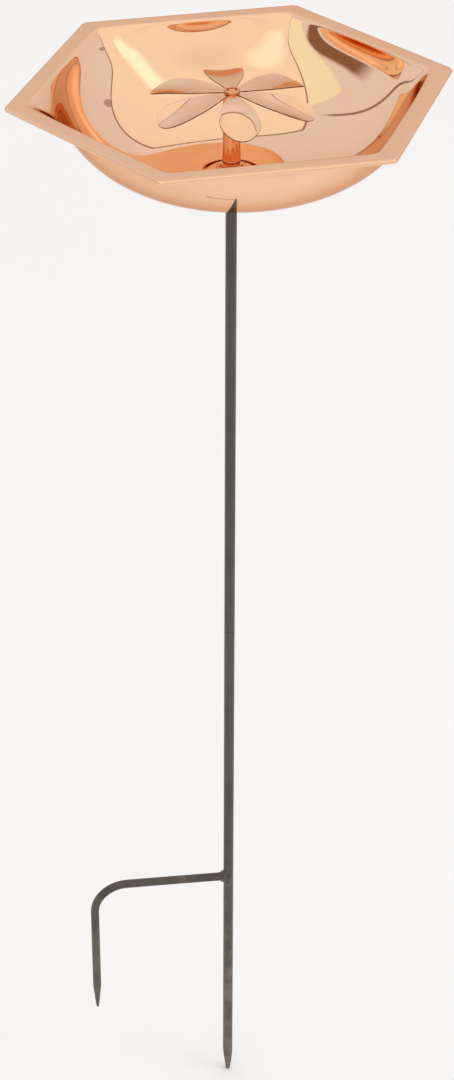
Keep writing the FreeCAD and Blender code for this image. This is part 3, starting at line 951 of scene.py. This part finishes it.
make_piece("stake_weld", build_weld(), "weld", "stake", "weld_bead", crisp=60.0)

# %% [markdown]
# ## Studs with real threads
#
# The two studs show only when the bird bath is taken apart, but then their threads are the first thing one
# sees. A thread is a zigzag line spun round the axis while it climbs by one pitch a turn. After a full turn
# the zigzag meets itself one tooth higher, so the doubles merge into one continuous helix. Two planes then
# cut it to length.

# %% Threaded stud
PITCH = 1.0 * MM
THREAD_DEPTH = 0.55 * MM
THREAD_STEPS = 48


def build_stud(bottom, top):
    """A helix that is longer than the stud at both ends, cut to length."""
    crest, root = STUD_R, STUD_R - THREAD_DEPTH
    start = bottom - 2 * PITCH
    profile = []
    turns = int((top - start) / PITCH) + 3
    for i in range(turns):
        z = start + i * PITCH
        profile += [(root, z), (root, z + 0.12 * PITCH), (crest, z + 0.5 * PITCH), (crest, z + 0.62 * PITCH)]
    bm = bmesh.new()
    bmesh.ops.spin(bm, geom=draw_profile(bm, profile), cent=(0, 0, 0), axis=UP, angle=math.tau,
                   steps=THREAD_STEPS, dvec=(0, 0, PITCH / THREAD_STEPS))
    bmesh.ops.remove_doubles(bm, verts=bm.verts, dist=2 * DOUBLES)
    slice_off(bm, (0, 0, top), (0, 0, 1))
    slice_off(bm, (0, 0, bottom), (0, 0, -1))
    return bm


for stud in ("bowl_stud", "joint_stud"):
    make_piece(stud + "_thread", build_stud(*height_range(stud)), "zinc_steel", "pole", stud, crisp=30.0)

# %% [markdown]
# ## Nodes that keep their shape
#
# Two rubber seals, a washer and the brass plug are plain rings, and the frame's own meshes show them well.
# They only need their finishes.

# %% Finishes for the frame's own rings
for node, finish in (("bowl_seal", "seal_rubber"), ("finial_seal", "seal_rubber"),
                     ("support_washer", "zinc_steel"), ("stem_insert", "brass_insert")):
    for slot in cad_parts[node].material_slots:
        slot.material = FINISH[finish]
    print(node, "is finished in", FINISH[finish].name)

# %% [markdown]
# ## The floor
#
# The bird bath stands on its spike over a plain pale floor. A square of one colour would do, but the same
# colour would then lie behind the object and in its reflections. So this one has painted shade: its colour
# falls to a light grey towards the front, as if the light fell off there, and the belly, which mirrors that
# part, shows against what lies behind it.

# %% Floor
FLOOR_HALF = 12.0
FLOOR_DROP = 0.5 * MM
# where the painted shade on the floor begins and where it is full, along Y in metres
PAINTED_SHADE_FROM, PAINTED_SHADE_TO = -0.35, -2.6


def pale_floor():
    paint = Paint("pale floor")
    # painted shade: the floor's colour greys towards the front, standing in for light falling off there
    front = 1.0 - paint.axes()[1].between(PAINTED_SHADE_TO, PAINTED_SHADE_FROM)
    mottle = paint.mix(paint.noise(1.5, 3.0), rgb(0.93, 0.925, 0.975), rgb(0.955, 0.95, 1.0))
    return paint.finish(Base_Color=paint.mix(front, mottle, rgb(0.76, 0.75, 0.80)), Roughness=0.9)


bm = bmesh.new()
bmesh.ops.create_grid(bm, x_segments=1, y_segments=1, size=FLOOR_HALF)
bmesh.ops.translate(bm, verts=bm.verts, vec=(0, 0, SPIKE_END - FLOOR_DROP))
mesh = bpy.data.meshes.new("floor")
bm.to_mesh(mesh)
bm.free()
mesh.materials.append(pale_floor())
floor = bpy.data.objects.new("floor", mesh)
bpy.context.scene.collection.objects.link(floor)
print("floor: %.0f m square, %.0f mm below the ground" % (2 * FLOOR_HALF, -(SPIKE_END - FLOOR_DROP) / MM))

# %% [markdown]
# ## The room that the copper mirrors
#
# A mirror shows the studio, so the studio matters more than the lamps. A large bright panel hangs overhead
# and reaches down in front. Its straight edges have a thin dark frame, and the dish bends them into the long
# curves that run from corner to corner. The walls beyond are a cool light grey with a few darker shapes.
#
# It could be built from real panels and walls. Here it is the world's own light instead, worked out from the
# direction one looks in: it needs no meshes, and an edge is moved by a few numbers. A plane through the dish
# parts all directions into two sides, and a few such planes bound each panel. A spot is a cone round one
# direction. The edges and colours were set to suit what the dish shows from the camera's place.

# %% The world as a place to paint
class Room(Paint):
    """The same node building for the world's light. Its place is the direction one looks in."""

    def __init__(self, name):
        world = bpy.data.worlds.new(name)
        bpy.context.scene.world = world
        world.use_nodes = True
        self.nodes = world.node_tree.nodes
        self.links = world.node_tree.links
        self.shader = self.nodes["Background"]
        self.place = self.node("ShaderNodeTexCoord").outputs["Generated"]


room = Room("white studio")
x, y, z = room.axes()

# %% Sides of a plane, and spots
EDGE_SOFT = 0.006


def along(aim):
    """How far the direction one looks in runs along aim. It is 0 on the plane that aim stands square to."""
    return x * aim[0] + y * aim[1] + z * aim[2]


def inside(value, edge=0.0, soft=EDGE_SOFT):
    """1 where the value is over the edge."""
    return value.between(edge - soft, edge + soft)


def towards(azimuth, elevation):
    """The direction with these two angles in degrees."""
    turn, rise = math.radians(azimuth), math.radians(elevation)
    return math.cos(rise) * math.cos(turn), math.cos(rise) * math.sin(turn), math.sin(rise)


def spot(azimuth, elevation, radius, soft):
    """1 within so many degrees of a direction."""
    nearness = along(towards(azimuth, elevation))
    return nearness.between(math.cos(math.radians(radius + soft)), math.cos(math.radians(radius - soft)))


# %% Panels, doorway and streak
FRAME = 0.007            # half the width of the panel's dark frame
DOOR_FRAME = 0.035

right_edge = along((-0.369, -0.452, 0.812))
back_edge = along((0.448, -0.640, 0.624))
left_edge = along((1.0, -0.45, 0.58))
door_edge = along((-0.608, -0.781, 0.143))
side_edge = along((1.0, -0.60, 1.30))
side_top = along((0.0, -1.0, 0.36))
off_streak = along((0.511, 0.841, -0.181))

panel = inside(right_edge, FRAME) * inside(back_edge, FRAME) * inside(left_edge, FRAME)
framed = inside(right_edge, -FRAME) * inside(back_edge, -FRAME) * inside(left_edge, -FRAME)
side_panel = inside(side_edge, 0.05, 0.05) * (1.0 - inside(left_edge)) * inside(side_top, 0.02, 0.02)
door_line = inside(door_edge, -DOOR_FRAME) * (1.0 - inside(door_edge)) * (1.0 - x.between(-0.45, -0.35))
doorway = (1.0 - inside(side_edge, 0.0, 0.05)) * (1.0 - y.between(0.05, 0.35))
doorway = doorway * z.between(0.09, 0.15) * (1.0 - z.between(0.40, 0.50))
streak = inside(off_streak, -0.09, 0.05) * (1.0 - inside(off_streak, 0.09, 0.05)) * spot(-25, 42, 18, 12)

# %% The room's light, from the walls up to the lamps
LAYERS = [               # where each layer lies, and its colour
    (spot(22, 30, 3.0, 0.4) + spot(50, 43, 4.0, 0.4), rgb(0.50, 0.42, 0.46)),    # fittings on the wall
    (doorway, rgb(0.26, 0.15, 0.09)),
    (door_line, rgb(0.34, 0.24, 0.20)),
    (side_panel, rgb(1.00, 1.08, 0.90)),
    (framed, rgb(0.34, 0.20, 0.15)),
    (panel, rgb(1.02, 0.99, 0.91)),
    (panel * spot(-72, 44, 12, 8) * 0.5, rgb(0.86, 0.84, 0.76)),                 # a duller patch of the panel
    (streak + spot(-120, 46, 6, 8) * 0.6, rgb(1.45, 1.45, 1.35)),                # a bright streak and spot
]
lit = room.mix(spot(72, 38, 7, 5), rgb(0.85, 0.86, 0.90), rgb(0.98, 0.96, 1.00))
for mask, colour in LAYERS:
    lit = room.mix(mask, lit, colour)
room.feed(room.shader, {"Color": lit, "Strength": 1.0})
print("room: %d layers over the walls" % len(LAYERS))

# %% [markdown]
# ## One lamp for shape
#
# The room's light comes from all sides, so the satin rod would look flat. A softbox at the right front gives
# it a lit side and a shaded one. It could be part of the room, but then the dish would mirror it as a hard
# white patch, so it is a lamp of its own that glossy reflections leave out.

# %% Softbox
def softbox(name, place, aim, size, power):
    light = bpy.data.lights.new(name, "AREA")
    light.shape = "RECTANGLE"
    light.size, light.size_y = size
    light.energy = power
    lamp = bpy.data.objects.new(name, light)
    lamp.location = place
    lamp.rotation_euler = (Vector(aim) - Vector(place)).to_track_quat("-Z", "Y").to_euler()
    lamp.visible_glossy = False
    bpy.context.scene.collection.objects.link(lamp)
    print("%s: %.1f by %.1f m, %.0f W" % (name, *size, power))


DISH_CENTRE = (0, 0, RIM_TOP)
softbox("right front softbox", (1.45, -0.80, 2.05), DISH_CENTRE, (0.9, 1.2), 6.0)

# %% [markdown]
# ## The camera
#
# It stands a little over two metres away, above the dish, and looks down by about a third of a right angle,
# so that the dish shows its inside and its belly together. Its aim is on the pole, well below the dish. From
# further off the dish would look flatter, and from nearer by the pole would shrink away below it.

# %% Camera
VIEW_AZIMUTH = math.radians(-97.39)
VIEW_DISTANCE = 2.2
VIEW_RISE = math.radians(23.5)
VIEW_PITCH = math.radians(32.96)
VIEW_ROLL = math.radians(0.25)
VIEW_SIDE = math.radians(0.06)
FOCAL_SHARE = 2.515      # focal length over the picture's height
SENSOR = 36.0

away = Vector((math.cos(VIEW_AZIMUTH), math.sin(VIEW_AZIMUTH), 0))
camera_data = bpy.data.cameras.new("camera")
camera_data.sensor_width = SENSOR
camera_data.lens = FOCAL_SHARE * SENSOR
camera = bpy.data.objects.new("camera", camera_data)
climb = math.cos(VIEW_RISE) * away + math.sin(VIEW_RISE) * UP
camera.location = Vector(DISH_CENTRE) + VIEW_DISTANCE * climb
ahead = -(math.cos(VIEW_PITCH) * away + math.sin(VIEW_PITCH) * UP)
turn = ahead.to_track_quat("-Z", "Y").to_matrix()
tilt = Matrix.Rotation(VIEW_SIDE, 3, "Y") @ Matrix.Rotation(VIEW_ROLL, 3, "Z")
camera.rotation_euler = (turn @ tilt).to_euler()
bpy.context.scene.collection.objects.link(camera)
bpy.context.scene.camera = camera
bpy.context.scene.view_settings.view_transform = "Standard"
print("camera: %.1f m from the dish, %.1f mm lens" % (VIEW_DISTANCE, camera_data.lens))
